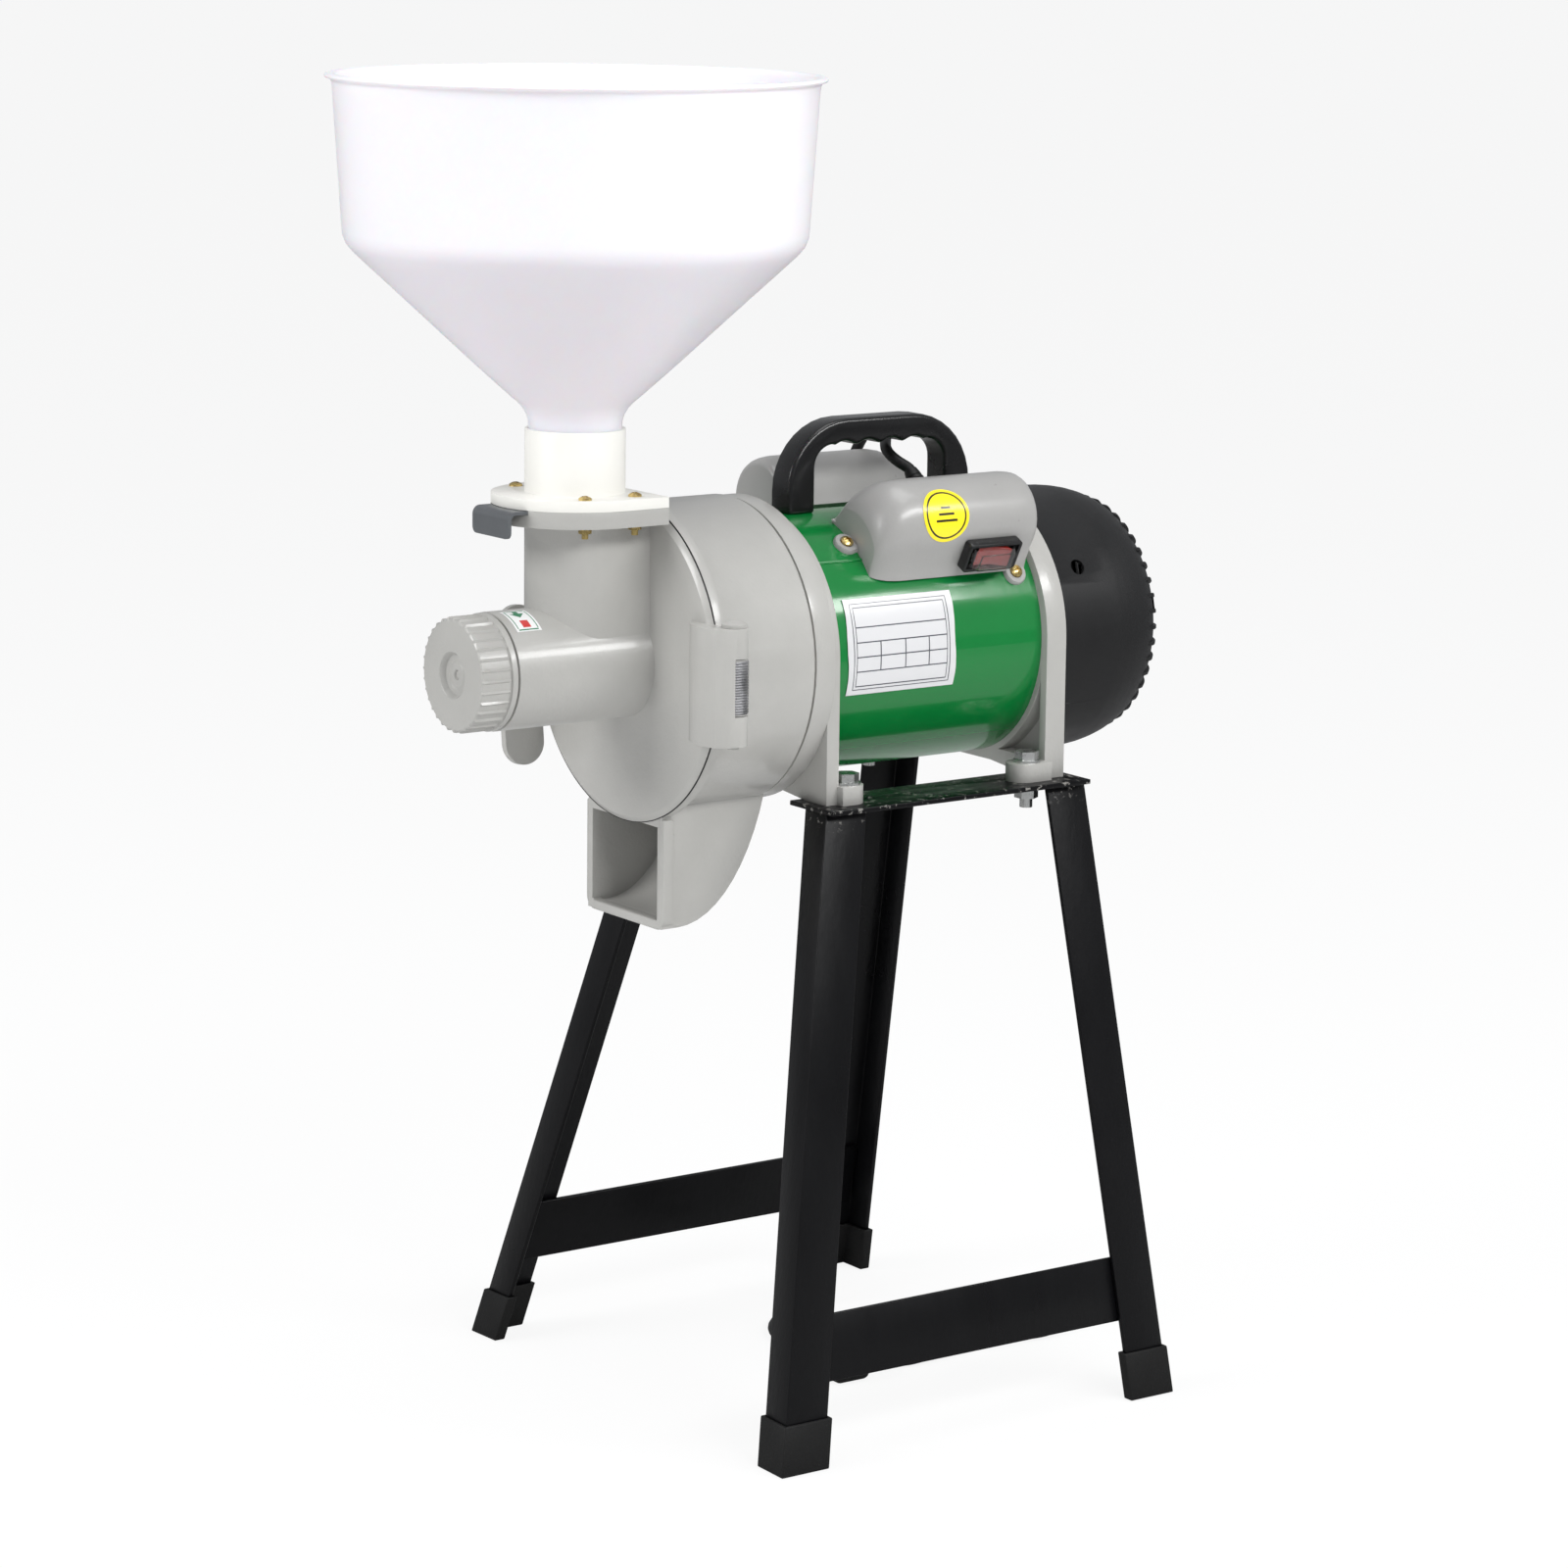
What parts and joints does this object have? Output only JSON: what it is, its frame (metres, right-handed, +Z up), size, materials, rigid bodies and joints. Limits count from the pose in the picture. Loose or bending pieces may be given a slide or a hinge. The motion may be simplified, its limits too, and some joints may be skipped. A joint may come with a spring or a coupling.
{
  "type": "electric grain mill",
  "caption": "Hopper-fed disc mill with hinged grinding chamber, adjusting knob and slide gate, flange-mounted on a capacitor motor with carrying handle, on a splayed angle-iron stand",
  "frame": {"origin": "on the floor under the middle of the machine's outline, cord left out", "axes": "Z up; Y along the motor shaft from the adjusting knob towards the fan; X towards the side with the switch and the cover's hinge"},
  "size_m": [0.3478, 0.5424, 0.815],
  "materials": {
    "milky_plastic": "slightly translucent moulded polyethylene",
    "white_plastic": "moulded nylon",
    "label_white": "printed film",
    "yellow_zinc": "yellow zinc plating on steel",
    "dark_sheet": "dark coated sheet steel",
    "grey_paint": "satin grey enamel on castings",
    "grey_plastic": "satin grey moulding",
    "iron": "bare cast iron",
    "bright_steel": "bright zinc and ground steel",
    "bronze": "sintered bronze",
    "seal_rubber": "black rubber",
    "green_enamel": "glossy green enamel",
    "laminations": "stacked electrical steel",
    "copper_wire": "varnished copper wire",
    "black_plastic": "satin black moulding",
    "gloss_black": "glossy black moulding",
    "can_aluminium": "drawn can",
    "red_lens": "translucent red",
    "clear_boot": "clear moulding",
    "black_paint": "satin black stoved paint",
    "cord_rubber": "black cord sheath",
    "pin_brass": "plain brass"
  },
  "bodies": {
    "machine": {"hinge_pin": "bright_steel", "mill_housing": "grey_paint", "housing_bolts": "bright_steel", "shaft_seal": "seal_rubber", "front_bearing": "bright_steel", "rear_bearing": "bright_steel", "front_bracket": "grey_paint", "rear_bracket": "grey_paint", "motor_barrel": "green_enamel", "stator_core": "laminations", "stator_windings": "copper_wire", "tie_rods": "bright_steel", "fan_cover": "black_plastic", "case_screws": "yellow_zinc", "switch_box": "grey_plastic", "capacitor_box": "grey_plastic", "run_capacitor": "can_aluminium", "start_capacitor": "black_plastic", "switch_bezel": "gloss_black", "switch_boot": "clear_boot", "carry_handle": "gloss_black", "motor_bolts": "bright_steel", "left_rail": "black_paint", "right_rail": "black_paint", "front_left_leg": "black_paint", "front_right_leg": "black_paint", "rear_left_leg": "black_paint", "rear_right_leg": "black_paint", "left_crossbar": "black_paint", "right_crossbar": "black_paint", "foot_caps": "seal_rubber", "nameplate": "label_white", "cord_gland": "cord_rubber", "power_cord": "cord_rubber", "cord_hank": "cord_rubber", "cord_tie": "white_plastic", "plug_body": "cord_rubber", "plug_pins": "pin_brass"},
    "cover": {"front_cover": "grey_paint", "feed_collar": "white_plastic", "flange_screws": "yellow_zinc", "flange_nuts": "yellow_zinc", "cover_seal": "seal_rubber", "fixed_disc": "iron", "disc_screws": "bright_steel", "guide_screw": "bright_steel"},
    "hopper": {"hopper": "milky_plastic"},
    "gate": {"gate_plate": "dark_sheet"},
    "knob": {"adjusting_knob": "grey_paint"},
    "sleeve": {"thrust_sleeve": "iron", "thrust_bush": "bronze"},
    "auger": {"feed_auger": "iron"},
    "rotor": {"motor_shaft": "bright_steel", "rotor_core": "laminations", "rotating_disc": "iron", "disc_holder": "iron", "cooling_fan": "black_plastic"},
    "latch": {"latch_wing_bolt": "grey_paint"},
    "rocker": {"rocker_switch": "red_lens"}
  },
  "joints": [
    {"name": "cover_hinge", "type": "hinge", "parent": "machine", "child": "cover", "pos_m": [0.108, -0.0828, 0.464], "axis": [0, 0, 1], "range_deg": [0, 110]},
    {"name": "hopper_lift", "type": "slide", "parent": "cover", "child": "hopper", "axis": [0, 0, 1], "range_m": [0, 0.05]},
    {"name": "gate_pull", "type": "slide", "parent": "cover", "child": "gate", "axis": [0, -1, 0], "range_m": [0, 0.038]},
    {"name": "knob_turn", "type": "hinge", "parent": "cover", "child": "knob", "pos_m": [0, -0.1968, 0.466], "axis": [0, 1, 0], "range_deg": [0, 720]},
    {"name": "sleeve_slide", "type": "slide", "parent": "cover", "child": "sleeve", "axis": [0, -1, 0], "range_m": [0, 0.003]},
    {"name": "auger_spin", "type": "hinge", "parent": "cover", "child": "auger", "pos_m": [0, -0.1268, 0.466], "axis": [0, 1, 0], "continuous": true},
    {"name": "rotor_spin", "type": "hinge", "parent": "machine", "child": "rotor", "pos_m": [0, 0.0632, 0.466], "axis": [0, 1, 0], "continuous": true},
    {"name": "latch_turn", "type": "hinge", "parent": "cover", "child": "latch", "pos_m": [-0.09, -0.0968, 0.438], "axis": [0, 1, 0], "range_deg": [0, 1800]},
    {"name": "rocker_press", "type": "hinge", "parent": "machine", "child": "rocker", "pos_m": [0.08004, 0.1272, 0.52278], "axis": [0.4689, 0, 0.8833], "range_deg": [0, 16]}
  ],
  "couplings": [
    {"joint": "auger_spin", "follows": "rotor_spin", "ratio": 1},
    {"joint": "sleeve_slide", "follows": "knob_turn", "m_per_rad": 0.00023873}
  ]
}
